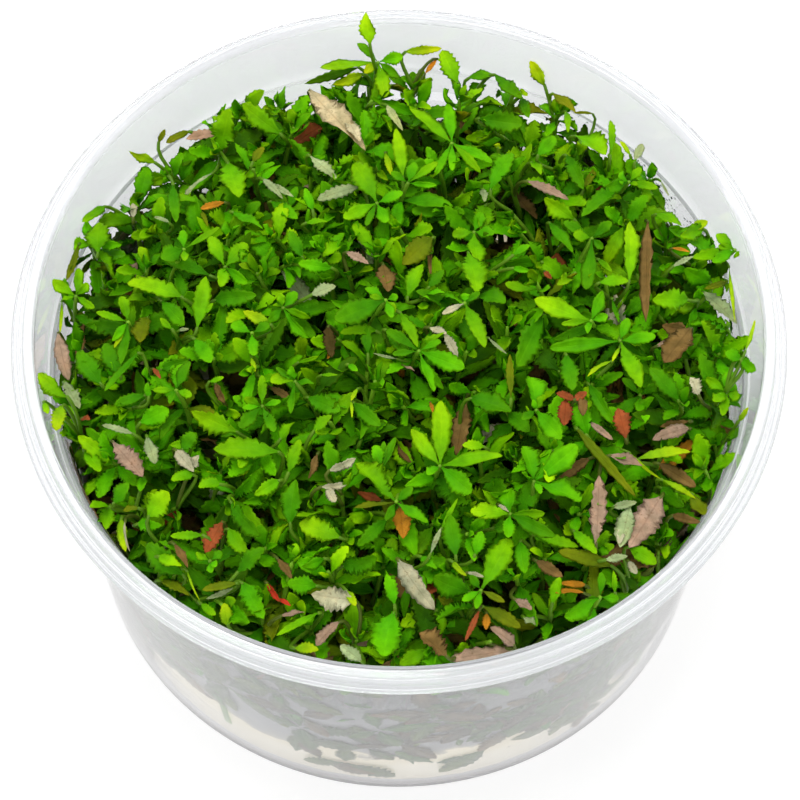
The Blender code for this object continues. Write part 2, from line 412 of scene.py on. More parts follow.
def rounded(profile, radius, points=4):
    """The profile with each corner cut to a small curve."""
    out = [np.array(profile[0], float)]
    for before, here, after in zip(profile, profile[1:], profile[2:]):
        before, here, after = (np.array(p, float) for p in (before, here, after))
        a, b = before - here, after - here
        la, lb = np.linalg.norm(a), np.linalg.norm(b)
        start, end = here + a / la * min(radius, la * 0.42), here + b / lb * min(radius, lb * 0.42)
        for t in np.linspace(0, 1, points):
            out.append((1 - t) ** 2 * start + 2 * t * (1 - t) * here + t * t * end)
    out.append(np.array(profile[-1], float))
    # short steps beside each corner and along each straight run keep the shading of the long walls true
    full = [out[0]]
    for here, after in zip(out, out[1:]):
        length = np.linalg.norm(after - here)
        if length > 1.4:
            steps = [0.06 / length, 0.2 / length]
            many = int(length // 4)
            steps += [k / many for k in range(1, many) if 0.3 < k * length / many < length - 0.3]
            steps += [1 - 0.2 / length, 1 - 0.06 / length]
            full += [here + (after - here) * t for t in steps]
        full.append(after)
    return full


# ------------------------------------------------------------------ the cup, the film of moisture and the drops
def make_cup():
    outer = BORE_R + WALL
    profile = [
        (0.0, BASE_RISE),
        (FOOT_R - 4.2, BASE_RISE),
        (FOOT_R - 3.6, 0.0),
        (FOOT_R - 1.2, 0.0),
        (FOOT_R - 0.4, 0.4),
        (FOOT_R, 1.3),
        (outer, SHOULDER_Z - 1.2),
        (SHOULDER_R + WALL, SHOULDER_Z + 0.2),
        (RIM_IN_R + 0.5, RIM_TOP_Z - 1.1),
        (RIM_R - 1.6, RIM_TOP_Z - 1.5),
        (RIM_R - 0.9, RIM_EDGE_Z - 0.5),
        (RIM_R - 0.25, RIM_EDGE_Z - 0.6),
        (RIM_R, RIM_EDGE_Z - 0.2),
        (RIM_R - 0.05, RIM_EDGE_Z + 0.25),
        (RIM_R - 0.35, RIM_EDGE_Z + 0.40),
        (RIM_R - 0.45, RIM_EDGE_Z + 0.20),
        (RIM_R - 0.80, RIM_EDGE_Z + 0.45),
        (RIM_R - 0.95, RIM_EDGE_Z + 1.10),
        (RIM_R - 1.25, RIM_EDGE_Z + 1.30),
        (RIM_R - 1.35, RIM_EDGE_Z + 1.12),
        (RIM_R - 1.60, RIM_EDGE_Z + 1.22),
        (RIM_R - 1.80, RIM_TOP_Z - 0.10),
        (RIM_R - 2.10, RIM_TOP_Z + 0.08),
        (RIM_IN_R + 0.45, RIM_TOP_Z + 0.05),
        (RIM_IN_R + 0.10, RIM_TOP_Z - 0.25),
        (RIM_IN_R - 0.15, RIM_TOP_Z - 1.6),
        (SHOULDER_R, SHOULDER_Z),
        (BORE_R, SHOULDER_Z - 0.7),
        (lower_bore(FLOOR_Z + 0.8), FLOOR_Z + 0.8),
        (FLOOR_R, FLOOR_Z),
        (0.0, FLOOR_Z),
    ]
    # the rim plastic sends out a faint painted light (0.05); the wall plastic none
    rim = plastic_material("clear_plastic", 0.76, 0.03, 0.04, 0.05)
    wall = plastic_material("clear_plastic_wall", 0.96, 0.02, 0.03, 0.0)
    cup = turned("cup_shell", rounded(profile, 0.2, 3), 208, rim)
    cup.data.materials.append(wall)
    for face in cup.data.polygons:
        face.material_index = int(1.5 * MM < face.center.z < (SHOULDER_Z - 3.4) * MM)
    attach(cup, "root")
    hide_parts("cup")
    return cup


def make_moisture():
    """The thin film of moisture inside the wall, behind the leaves that touch the plastic."""
    heights = np.array([GEL_TOP + 0.03, 14.0, 18.0, 24.0, 30.0, 36.0, 40.5])
    outer = [(float(inside_radius(z)) - 0.42, z) for z in heights]
    inner = [(r - 0.06, z) for r, z in outer[::-1]]
    ring = np.array(outer + inner)
    segments, k = 180, len(ring)
    angle = 2 * math.pi * np.arange(segments) / segments
    verts = np.stack(
        [ring[None, :, 0] * np.cos(angle)[:, None], ring[None, :, 0] * np.sin(angle)[:, None], np.repeat(ring[None, :, 1], segments, 0)], -1
    ).reshape(-1, 3)
    s, i = np.arange(segments)[:, None], np.arange(k)[None]
    t, j = (s + 1) % segments, (i + 1) % k
    quads = np.stack([s * k + i, t * k + i, t * k + j, s * k + j], -1).reshape(-1, 4)
    film = mesh_object("moisture_film", verts, quads.ravel(), np.arange(len(quads)) * 4, [moisture_material()])
    film.data.set_sharp_from_angle(angle=math.radians(40))
    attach(film, "root")


def make_droplets():
    """Small drops of water on the inside of the wall, above the leaves, most of them on the far right side."""
    heap = Heap()
    faces, sides, rows = [], 6, 3
    for i in range(rows - 1):
        for s in range(sides):
            t = (s + 1) % sides
            faces.append((i * sides + t, i * sides + s, (i + 1) * sides + s, (i + 1) * sides + t))
    for s in range(sides):
        t = (s + 1) % sides
        faces.append((rows * sides, s, t))
        faces.append((rows * sides + 1, (rows - 1) * sides + t, (rows - 1) * sides + s))
    loops, sizes = np.concatenate([np.array(f) for f in faces]), np.array([len(f) for f in faces])
    for index in range(420):
        a = math.radians(rng.normal(38, 16) if index % 4 else rng.uniform(0, 360))
        z = rng.uniform(41.5, 46.2)
        size = 0.07 + 0.17 * rng.uniform() ** 2.5
        radial, round_, axis = np.array([math.cos(a), math.sin(a), 0.0]), np.array([-math.sin(a), math.cos(a), 0.0]), np.array([0, 0, 1.0])
        centre = radial * (float(inside_radius(z)) - size * 0.35) + axis * z
        angle = 2 * math.pi * np.arange(sides) / sides
        verts = []
        for latitude in (-0.8, 0.0, 0.8):
            ring = np.cos(angle)[:, None] * round_ + np.sin(angle)[:, None] * axis * 1.15
            verts.append(centre + size * (math.cos(latitude) * ring - 0.55 * math.sin(latitude) * radial))
        verts = np.concatenate(verts + [[centre + 0.55 * size * radial], [centre - 0.55 * size * radial]])
        heap.put(verts[None], loops, sizes, np.full((1, len(verts), 3), 0.9), np.zeros((1, len(verts), 3)), 0)
    n = Nodes("water")
    where = n.add("ShaderNodeTexCoord").outputs["Object"]
    grain = n.noise(2400.0, 2.0, 0.5, where).outputs["Fac"]
    shader = n.add(
        "ShaderNodeBsdfPrincipled",
        {
            "Base Color": n.ramp(grain, [(0.3, (0.80, 0.82, 0.84)), (0.7, (0.94, 0.95, 0.96))]),
            "Roughness": n.math("MULTIPLY", grain, 0.06),
            "IOR": 1.33,
            "Transmission Weight": 1.0,
        },
    )
    drops = heap.build("water_droplets", [n.surface(shader.outputs[0])])
    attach(drops, "root")


# ------------------------------------------------------------------ leaves
def leaf_pattern(stations, columns):
    """Faces of one leaf: rows of points across its upper side and one row under its midrib, meeting in one tip."""
    per = columns + 1  # upper points, then the lower one
    faces = []
    for i in range(stations - 2):
        a, b = i * per, (i + 1) * per
        for j in range(columns - 1):
            faces.append((a + j, a + j + 1, b + j + 1, b + j))
        faces.append((a + columns - 1, a + columns, b + columns, b + columns - 1))
        faces.append((a + columns, a, b, b + columns))
    tip = (stations - 1) * per
    a = (stations - 2) * per
    for j in range(columns - 1):
        faces.append((a + j, a + j + 1, tip))
    faces.append((a + columns - 1, a + columns, tip))
    faces.append((a + columns, a, tip))
    faces.append(tuple(range(columns, -1, -1)))
    return np.concatenate([np.array(f) for f in faces]), np.array([len(f) for f in faces])


TEETH = 6
FINE_U = [0.0, 0.06]
FINE_TOOTH = [0.0, 0.0]
for _k in range(TEETH):
    _a = 0.16 + (0.93 - 0.16) * _k / TEETH
    _b = 0.16 + (0.93 - 0.16) * (_k + 1) / TEETH
    FINE_U += [_a, _a + (_b - _a) * 0.62]
    FINE_TOOTH += [-1.0, 1.0]
FINE_U += [0.955, 1.0]
FINE_TOOTH += [-0.6, 0.0]
FINE = dict(u=np.array(FINE_U), tooth=np.array(FINE_TOOTH), v=np.array([-1, -0.52, 0, 0.52, 1.0]))
PLAIN = dict(
    u=np.array([0.0, 0.10, 0.26, 0.42, 0.60, 0.78, 0.91, 1.0]), tooth=np.zeros(8), v=np.array([-1, 0, 1.0])
)
SLIM = dict(u=np.array(FINE_U), tooth=np.array(FINE_TOOTH), v=np.array([-1, 0, 1.0]))
for _d in (FINE, PLAIN, SLIM):
    _d["faces"], _d["sizes"] = leaf_pattern(len(_d["u"]), len(_d["v"]))


def unit(a):
    return a / np.maximum(np.linalg.norm(a, axis=-1, keepdims=True), 1e-9)


def press_inside(points, margin=0.12, depth=0.7):
    """Moves points that would pass the cup's wall back to it, layer by layer."""
    r = np.linalg.norm(points[..., :2], axis=-1)
    limit = inside_radius(points[..., 2]) - margin
    start = limit - depth
    over = np.clip(r - start, 0, None)
    pressed = np.where(r > start, start + depth * (1 - np.exp(-over / depth)), r)
    scale = pressed / np.maximum(r, 1e-6)
    out = points.copy()
    out[..., :2] *= scale[..., None]
    return out


def put_leaves(heap, kit, base, way, up, length, half, peak, blunt, bend, fold, twist, wave, thick, tooth, colour, old, inside=True, veil=None, cover=None):
    """Adds n leaves. base, way, up are (n, 3); the rest are (n,). way is the leaf's direction and up its upper side, and the leaf
    bends towards up where bend is positive."""
    n = len(base)
    u, v = kit["u"], kit["v"]
    way = unit(way)
    up = unit(up - way * np.sum(up * way, -1, keepdims=True))
    side = np.cross(way, up)
    phi = bend[:, None] * u
    safe = np.where(np.abs(bend) < 1e-3, 1e-3, bend)[:, None]
    run, rise = np.sin(safe * u) / safe, (1 - np.cos(safe * u)) / safe
    centre = base[:, None] + length[:, None, None] * (run[..., None] * way[:, None] + rise[..., None] * up[:, None])
    normal = -np.sin(phi)[..., None] * way[:, None] + np.cos(phi)[..., None] * up[:, None]
    tau = (twist[:, None] * u)[..., None]
    across = np.cos(tau) * side[:, None] + np.sin(tau) * normal
    normal = -np.sin(tau) * side[:, None] + np.cos(tau) * normal
    power = np.log(0.5) / np.log(peak)[:, None]
    width = np.clip(np.sin(math.pi * u[None] ** power), 0, 1)
    width = width ** np.where(u[None] > peak[:, None], blunt[:, None], 1.15)
    width = np.maximum(width, 0.13 * (1 - u[None]) ** 0.5) * (1 + tooth[:, None] * kit["tooth"])
    width = width * half[:, None] * (1 + 0.06 * np.sin(17.0 * u[None] + 40 * peak[:, None]))
    width[:, -1] = 0
    full = 0.35 + 0.65 * np.sin(math.pi * np.clip(u * 0.92 + 0.06, 0, 1))[None]
    rows = []
    for j, vj in enumerate(v):
        f = fold[:, None] * (0.75 + 0.25 * abs(vj))
        lift = abs(vj) * np.sin(f) * width
        lift = lift + wave[:, None] * width * abs(vj) * np.sin(2 * math.pi * 1.6 * u[None] + 2.1 * np.sign(vj) + 9 * peak[:, None])
        body = thick[:, None] * full * (0.5 * (1 - abs(vj) ** 2)) * (0.35 if vj == 0 else 1.0)
        rows.append(centre + (vj * np.cos(f) * width)[..., None] * across + (lift + body)[..., None] * normal)
    rows.append(centre - (thick[:, None] * full * 0.75)[..., None] * normal)
    grid = np.stack(rows, 2)  # n, stations, columns + 1, 3
    tip = grid[:, -1, len(v) // 2]
    per = grid.shape[2]
    verts = np.concatenate([grid[:, :-1].reshape(n, -1, 3), tip[:, None]], 1)
    if inside:
        verts = press_inside(verts)
    if cover is not None:
        cover.hang(verts[:, :-1].reshape(n, len(u) - 1, per, 3)[:, :, : len(v)])
    if veil is not None:
        kept = veil.clear_of(verts)
        verts, old, colour, n = verts[kept], old[kept], colour[kept], int(kept.sum())
        if n == 0:
            return verts
    places = np.zeros((len(u) - 1, per, 3))
    places[..., 0] = u[:-1, None]
    places[:, :-1, 1] = v[None]
    space = np.concatenate([places.reshape(-1, 3), [[1.0, 0, 0]]])
    space = np.repeat(space[None], n, 0)
    space[..., 2] = old[:, None]
    tint = np.repeat(colour[:, None], space.shape[1], 1)
    # paler at the base of the blade
    tint = tint * (1 + 0.18 * (1 - space[..., :1]) * (1 - old[:, None, None]))
    heap.put(verts, kit["faces"], kit["sizes"], tint, space, 0)
    return verts


def put_stem(heap, path, radii, colour, sides=6):
    """A tube with round ends along path (k, 3)."""
    k = len(path)
    tangent = unit(np.gradient(path, axis=0))
    ref = np.array([1.0, 0.0, 0.0]) if abs(tangent[0, 0]) < 0.7 else np.array([0.0, 1.0, 0.0])
    normals = []
    n0 = unit(np.cross(tangent[0], ref))
    for t in tangent:
        n0 = unit(n0 - t * np.dot(n0, t))
        normals.append(n0)
    normals = np.array(normals)
    binormal = np.cross(tangent, normals)
    a = 2 * math.pi * np.arange(sides) / sides
    ring = np.cos(a)[None, :, None] * normals[:, None] + np.sin(a)[None, :, None] * binormal[:, None]
    verts = path[:, None] + ring * radii[:, None, None]
    verts = np.concatenate([verts.reshape(-1, 3), [path[0] - tangent[0] * radii[0] * 0.5], [path[-1] + tangent[-1] * radii[-1] * 0.8]])
    faces = []
    for i in range(k - 1):
        for s in range(sides):
            t = (s + 1) % sides
            faces.append((i * sides + s, i * sides + t, (i + 1) * sides + t, (i + 1) * sides + s))
    first, last = k * sides, k * sides + 1
    for s in range(sides):
        t = (s + 1) % sides
        faces.append((first, t, s))
        faces.append((last, (k - 1) * sides + s, (k - 1) * sides + t))
    loops = np.concatenate([np.array(f) for f in faces])
    sizes = np.array([len(f) for f in faces])
    verts = press_inside(verts, 0.1, 0.5)
    tint = np.repeat(np.asarray(colour, float)[None], len(verts), 0)
    heap.put(verts[None], loops, sizes, tint[None], np.zeros((1, len(verts), 3)), 1)


def curve(points, count):
    """Smooth path through control points of a Bezier curve."""
    points = np.array(points, float)
    t = np.linspace(0, 1, count)[:, None]
    degree = len(points) - 1
    out = 0
    for i, p in enumerate(points):
        out = out + math.comb(degree, i) * t**i * (1 - t) ** (degree - i) * p
    return out


# ------------------------------------------------------------------ colours
YOUNG = linear(138, 200, 6)
BRIGHT = linear(94, 180, 4)
FRESH = linear(114, 182, 4)
MID = linear(76, 148, 4)
DEEP = linear(60, 110, 6)
OLIVE = linear(110, 128, 14)
LIME = linear(160, 200, 18)
BROWN = linear(134, 106, 58)
PALE = linear(198, 194, 158)
PINK = linear(180, 150, 126)
SILVER = linear(166, 184, 128)
RUST = linear(166, 86, 46)
RED = linear(190, 58, 34)
ORANGE = linear(202, 136, 36)
DARK = linear(86, 72, 34)
SAGE = linear(108, 130, 58)
MOSS = linear(84, 124, 34)
UMBER = linear(126, 104, 70)
TONES = dict(Y=YOUNG, B=BRIGHT, F=FRESH, G=MID, D=DEEP, O=OLIVE, L=LIME, W=BROWN, P=PALE, K=PINK, S=SILVER, R=RUST, E=RED, A=ORANGE, X=DARK)


def pick(colours, shares, n):
    shares = np.array(shares, float)
    index = rng.choice(len(colours), n, p=shares / shares.sum())
    return np.array(colours)[index]


# ------------------------------------------------------------------ the plantlets
NODES = sorted(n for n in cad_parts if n.startswith("plantlet_"))
FEET = np.array([[(a + b) / 2 / MM for a, b in zip(*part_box(n))] for n in NODES])
TOPS = np.array([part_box(n)[1][2] / MM for n in NODES])

# Crowns in plain sight, each a rosette of young leaves on its shoot. A row: the crown's pixel in the 800 x 800 view and its
# level, then for each leaf its tip's pixel, its width in pixels and its tone.
CROWNS = """
440 466 0 | 441 400 21 Y | 411 429 15 Y | 427 475 11 B | 472 493 22 B | 503 456 17 F
534 481 0 | 523 446 22 B | 582 501 21 B | 578 445 22 B | 541 494 8 B | 551 449 10 B
510 514 0 | 545 513 12 F | 470 511 17 Y | 508 489 20 B | 508 538 12 B | 556 536 17 G
225 267 0 | 210 236 15 F | 247 243 17 F | 220 287 14 F | 248 283 13 B
252 333 1 | 231 324 14 B | 270 324 12 G | 254 356 12 B
262 406 1 | 239 428 14 G | 242 408 7 B | 281 401 7 B | 275 432 12 G | 262 375 11 F | 244 398 10 F
184 249 0 | 182 230 11 B | 185 261 8 F | 220 227 7 F | 161 259 20 G
377 203 0 | 353 163 22 F | 403 192 12 B | 386 223 15 B | 343 218 15 F | 366 226 8 G
408 183 0 | 415 162 13 B | 438 162 10 F | 437 185 7 B | 391 172 9 G
452 143 0 | 409 108 17 F | 448 103 14 B | 493 163 13 B | 481 173 10 F | 435 176 10 B | 452 171 9 B
396 502 0 | 355 463 26 F | 413 487 10 G | 428 523 13 B | 354 508 8 O | 385 520 9 G
591 321 0 | 534 299 20 Y | 603 291 16 B | 608 315 11 B | 561 324 8 F
620 341 0 | 656 336 13 B | 628 318 12 B | 641 388 19 F | 549 348 17 B
592 238 1 | 573 235 14 F | 586 290 15 G | 612 222 12 G | 563 222 13 G | 603 249 9 G
629 182 0 | 618 176 15 B | 641 168 9 F | 658 188 10 F | 602 189 16 G
386 300 0 | 365 288 13 B | 398 296 8 B | 370 296 7 F | 334 320 24 G | 395 313 12 Y | 392 318 10 B
419 351 0 | 465 368 17 B | 386 330 13 G | 434 392 12 B | 392 354 8 G | 441 341 9 B
465 303 0 | 465 293 12 B | 442 314 7 P | 485 348 16 F | 480 292 8 G
283 308 1 | 297 292 13 B | 309 338 13 B | 311 318 10 F | 268 322 12 G | 280 293 9 F
295 381 1 | 270 380 14 Y | 292 366 12 B | 276 367 8 G | 314 384 9 G | 291 414 8 G
176 390 0 | 182 364 18 B | 153 390 7 F | 192 396 9 F | 190 361 12 G | 170 404 8 G
380 472 1 | 375 445 13 B | 396 437 10 G | 384 441 9 G | 392 486 9 F | 362 455 8 G
481 590 0 | 510 538 24 F | 505 602 7 O | 462 601 9 B | 476 609 8 B | 470 575 9 G
210 561 0 | 196 552 9 F | 217 566 9 B | 211 573 8 B | 222 552 9 G
128 322 0 | 121 296 13 F | 96 312 8 F | 112 341 9 B | 114 348 5 L | 121 365 12 G
378 62 0 | 320 68 14 F | 357 42 9 G | 403 56 15 B | 385 98 15 F | 400 76 13 G | 364 73 11 L
76 296 0 | 50 280 13 Y | 95 308 9 F | 88 283 10 F | 62 300 8 F | 79 268 10 F
474 232 1 | 452 235 13 F | 495 233 14 B | 477 262 20 F | 482 212 14 B
434 450 3 | 452 430 12 G | 420 440 10 G
506 410 2 | 481 404 17 G | 530 432 18 G | 512 392 10 G
640 395 2 | 622 378 11 G | 658 384 11 G | 640 412 12 B | 612 423 15 G
536 410 0 | 530 377 24 B | 562 439 21 B | 545 395 10 F | 522 420 10 G
735 250 0 | 740 256 12 Y | 712 262 13 B | 718 246 10 F | 716 234 12 F
726 392 0 | 739 398 12 F | 706 378 14 F | 728 372 12 B | 736 384 10 B | 714 402 13 F | 722 416 12 F
600 597 1 | 585 600 9 G | 564 617 20 B | 619 599 10 B | 602 572 9 G
"""

# Single leaves in plain sight: the pixels of base and tip, width in pixels, tone, level.
LEAVES = """
370 45 366 12 18 Y 60
156 163 129 151 11 L 0
158 143 165 129 7 O 0
224 132 186 139 12 K 0
190 131 166 143 9 O 1
281 134 242 103 19 F 0
228 163 239 198 27 F 0
252 163 264 147 10 O 0
226 202 200 209 8 A 1
200 209 208 227 5 O 1
263 179 283 199 8 S 0
173 184 176 223 13 G 0
170 223 154 217 4 S 0
232 212 263 229 13 B 0
105 206 82 222 14 F 1
133 219 133 203 9 P 0
213 173 182 201 6 S 1
98 254 99 222 25 F 0
360 67 304 84 10 D 1
363 74 333 84 13 L 0
404 52 442 48 11 L 0
458 84 442 50 19 F 0
424 75 437 59 5 A 1
437 58 446 66 4 A 1
309 90 366 151 26 P 0
348 120 360 142 13 P 0
387 105 403 131 9 S 0
403 178 396 128 14 Y 0
309 155 337 179 12 S 0
359 187 317 200 13 S 0
271 184 294 197 7 S 0
313 211 305 188 11 B 0
305 223 328 222 8 F 0
270 201 298 219 14 B 1
385 152 392 176 8 L 1
478 118 523 124 22 G 0
494 74 522 98 13 G 0
521 97 529 118 12 G 1
468 78 495 75 12 G 1
490 190 513 153 19 B 0
483 189 484 202 9 S 0
485 205 481 231 22 F 1
498 149 499 143 9 L 1
545 86 532 57 12 L 0
552 93 576 113 12 O 0
566 112 568 133 8 F 0
594 114 573 113 4 O 0
610 156 610 120 8 F 0
574 136 606 155 24 F 0
631 156 620 141 6 L 0
634 162 643 144 9 S 0
527 181 569 200 10 K 0
575 220 544 198 20 Y 0
615 187 581 217 18 G 0
537 156 556 137 16 B 0
531 162 541 175 11 F 0
583 190 595 169 9 O 1
566 155 584 190 18 G 1
660 180 669 196 3 S 0
655 214 682 226 15 F 0
690 229 708 221 11 L 0
79 243 66 281 12 O 1
62 300 60 333 4 L 1
58 332 69 381 15 K 2
68 397 38 373 14 Y 56.4
62 405 56 431 15 L 56.4
43 401 48 414 7 Y 56.6
64 381 80 409 14 S 1
66 406 77 415 6 F 1
101 384 77 351 22 G 0
121 376 104 343 20 G 1
139 352 104 392 9 G 0
182 297 127 283 20 Y 0
161 300 185 325 18 G 0
148 317 140 343 21 O 1
211 276 163 257 18 G 1
197 329 206 276 18 F 0
214 300 257 295 20 G 1
205 314 213 303 5 F 0
272 325 243 311 12 L 0
194 338 211 363 18 B 0
160 369 190 359 13 G 1
153 368 161 379 5 R 0
173 330 160 318 7 F 0
179 330 189 329 4 S 0
149 398 147 383 8 B 0
146 395 114 405 12 G 1
139 423 169 409 21 B 0
134 434 102 425 7 S 0
82 418 90 420 8 R 1
238 432 191 411 23 Y 0
215 383 225 403 10 W 2
251 356 255 372 5 L 0
208 382 224 377 5 F 0
261 377 282 380 10 F 1
303 258 289 231 15 G 0
333 268 298 263 12 B 0
346 252 369 264 9 K 0
311 295 336 286 12 S 0
328 326 332 358 14 X 2
331 350 327 359 6 A 2
377 331 340 333 11 F 1
383 264 388 292 20 W 1
400 312 418 348 12 F 0
385 329 409 354 13 G 0
407 298 423 264 18 F 0
428 288 444 270 12 G 0
425 295 445 293 8 B 0
433 237 402 265 24 O 0
430 247 431 276 6 W 1
468 252 477 293 26 F 0
477 297 506 303 18 G 1
488 337 507 354 3 S 0
428 327 447 334 8 P 0
443 331 458 357 10 P 0
404 366 415 371 4 K 0
398 359 373 353 3 S 0
511 400 510 354 9 O 0
466 402 456 456 21 W 3
470 398 512 412 24 G 1
430 401 433 413 4 A 1
353 402 381 426 14 G 0
358 388 351 401 5 L 0
351 400 352 418 3 L 0
313 432 332 415 12 F 0
280 440 295 422 18 F 0
307 397 341 411 20 G 1
297 363 319 356 5 F 1
347 364 358 371 7 B 0
320 375 338 375 4 F 0
368 355 365 323 12 G 1
268 386 296 404 8 W 2
629 282 630 221 19 Y 0
648 221 646 323 15 W 1
703 228 680 236 17 F 0
671 248 690 252 4 A 0
672 267 694 256 6 S 0
711 282 684 268 18 B 1
729 266 735 322 4 L 0
703 292 737 324 16 S 2
728 281 704 289 7 O 1
688 300 652 300 22 F 0
688 330 662 325 15 W 1
691 328 664 363 26 W 0
656 346 690 344 12 K 1
745 352 755 320 4 L 56.6
742 360 725 352 15 B 56.6
741 358 756 371 13 B 56.6
699 396 690 377 15 P 0
679 401 649 368 18 G 0
612 361 587 377 6 L 0
620 347 612 362 5 L 0
566 354 573 391 18 G 0
543 315 517 367 24 G 1
560 372 526 340 26 D 2
575 400 556 393 9 R 0
566 397 564 426 15 R 0
574 400 587 392 9 R 0
582 396 583 416 10 W 0
549 222 573 253 14 G 1
598 283 629 281 14 F 0
598 259 612 272 7 F 1
544 271 552 279 7 R 2
612 298 619 323 6 G 1
589 384 613 424 15 G 1
626 440 618 408 18 R 1
588 421 613 440 7 K 1
689 428 652 440 14 K 1
690 421 660 427 8 W 1
738 422 749 407 7 L 0
512 256 530 245 9 B 0
512 268 530 271 8 B 0
112 441 143 477 22 K 0
147 436 155 464 12 S 0
176 450 194 472 13 P 0
190 470 199 455 9 P 0
188 446 170 445 9 F 1
84 450 100 472 14 F 1
144 477 140 492 12 B 1
113 504 129 483 17 G 0
194 474 171 480 13 F 0
221 484 198 487 15 F 0
148 517 169 492 25 Y 0
110 507 89 508 12 F 0
108 507 105 530 18 F 0
121 518 126 552 12 L 1
125 521 130 552 4 P 0
140 508 123 511 7 O 0
137 524 162 525 14 B 1
231 502 261 536 20 G 0
223 521 205 553 17 R 1
204 535 170 536 9 F 0
174 543 188 568 9 W 0
158 556 182 566 12 Y 0
184 575 146 544 24 G 1
228 528 247 555 17 F 1
237 573 265 548 19 G 0
228 626 224 603 13 L 1
242 582 264 619 21 B 0
238 583 202 590 9 O 0
234 588 206 599 6 S 1
187 570 200 601 3 L 0
160 580 190 596 10 O 2
200 603 216 615 8 F 1
266 582 280 602 7 E 1
278 598 291 606 5 E 1
182 450 195 433 16 G 0
280 452 213 449 24 F 0
245 455 239 468 12 F 0
280 480 254 495 14 F 0
341 538 299 523 22 Y 0
325 558 301 567 11 B 0
318 586 287 583 18 B 0
354 600 311 594 26 P 0
346 590 356 606 9 L 0
277 558 292 579 8 W 1
320 612 276 636 9 F 0
280 616 305 612 7 K 1
340 621 316 646 12 K 1
293 648 319 650 12 L 0
362 662 340 645 13 S 0
394 612 383 657 30 B 0
447 657 419 633 24 W 0
523 650 447 660 14 K 2
515 646 490 627 15 K 1
480 609 465 641 6 R 0
487 612 486 630 8 A 1
398 560 435 610 21 P 0
470 592 433 577 23 G 1
452 561 467 576 6 L 0
466 572 484 577 5 P 0
454 604 438 596 11 O 2
456 557 450 514 19 G 0
475 556 482 531 13 B 0
430 555 441 528 5 S 0
441 529 458 498 5 F 0
498 504 509 512 4 P 0
493 528 509 526 12 G 1
485 447 462 445 11 Y 0
400 506 403 539 18 A 1
383 501 357 492 9 R 2
387 519 357 546 14 G 1
328 471 356 458 10 P 0
320 487 348 483 8 P 0
328 487 336 502 9 P 0
318 453 308 479 9 W 1
288 474 300 439 13 F 0
290 524 296 479 22 G 1
398 444 412 463 11 W 3
342 566 377 557 24 G 1
395 606 386 574 15 B 0
420 556 437 569 9 B 1
482 606 521 628 14 O 1
576 428 636 497 10 O 0
596 547 599 475 17 K 0
590 458 554 480 13 W 2
612 507 637 502 9 S 0
630 505 620 548 19 S 0
620 528 619 544 8 P 0
661 497 629 548 28 K 0
609 455 643 466 14 K 0
638 459 691 452 11 L 0
629 452 661 479 4 L 0
661 479 696 499 6 L 0
692 494 706 516 15 O 0
658 463 696 487 14 W 2
661 487 684 507 17 G 1
672 515 702 523 10 W 1
628 546 657 564 16 F 0
573 530 597 554 12 F 0
612 566 558 551 14 O 1
534 534 579 547 11 F 1
535 560 563 577 12 W 1
585 593 555 593 6 A 1
586 585 560 583 7 A 2
552 604 560 577 13 F 1
514 599 532 610 10 K 1
523 617 536 625 9 S 1
615 594 613 570 7 F 1
624 575 640 595 13 D 2
604 560 628 556 8 S 0
628 560 637 574 8 P 1
520 541 525 574 16 B 1
"""

# Openings in the mass that show its dark inside: the pixel of the middle and the half sizes.
GAPS = """
338 150 12 9 | 451 191 9 13 | 376 222 14 10 | 370 602 13 17 | 478 372 11 14 | 440 546 12 9 | 250 546 10 9 | 548 515 14 12
505 594 15 14 | 205 514 10 6 | 232 280 12 5 | 160 276 12 5 | 540 232 14 10 | 203 370 15 10 | 226 390 10 9 | 96 345 7 8
440 252 8 14 | 301 240 8 14 | 341 384 9 13 | 291 338 7 8 | 330 291 18 8 | 420 150 6 9 | 436 98 9 8 | 650 486 12 9
388 136 6 8 | 250 190 9 9 | 210 222 8 6 | 130 392 8 8 | 190 500 12 8 | 500 245 9 12 | 690 372 12 8 | 636 440 7 6
560 256 14 10 | 520 200 12 10 | 560 566 12 6 | 140 495 8 6 | 350 262 9 5 | 325 560 8 8 | 418 500 8 8 | 560 405 8 6
607 300 8 8 | 655 430 9 6 | 300 490 6 8 | 455 640 8 6 | 630 262 5 10 | 275 462 6 6 | 485 400 7 6 | 300 500 8 6
"""


def canopy(xy):
    r = np.linalg.norm(xy, axis=-1)
    return 55.0 - 7.5 * np.clip(r / 45, 0, 1.1) ** 2.4


LIFT = {0: 2.2, 1: 0.6, 2: -1.4, 3: -4.0}


def over_canopy(px, py, lift):
    """The point seen at a pixel, lift mm over the mass of leaves, moved along the line of sight where the cup's wall is nearer."""
    z = 53.0
    for _ in range(5):
        z = float(canopy(at_pixel(px, py, z)[:2])) + lift
    for step in np.arange(0, 10, 0.5):
        for dz in (step, -step):
            point = at_pixel(px, py, min(z + dz, 59.3))
            if np.linalg.norm(point[:2]) < float(inside_radius(point[2])) - 0.5:
                return point
    return at_pixel(px, py, z)


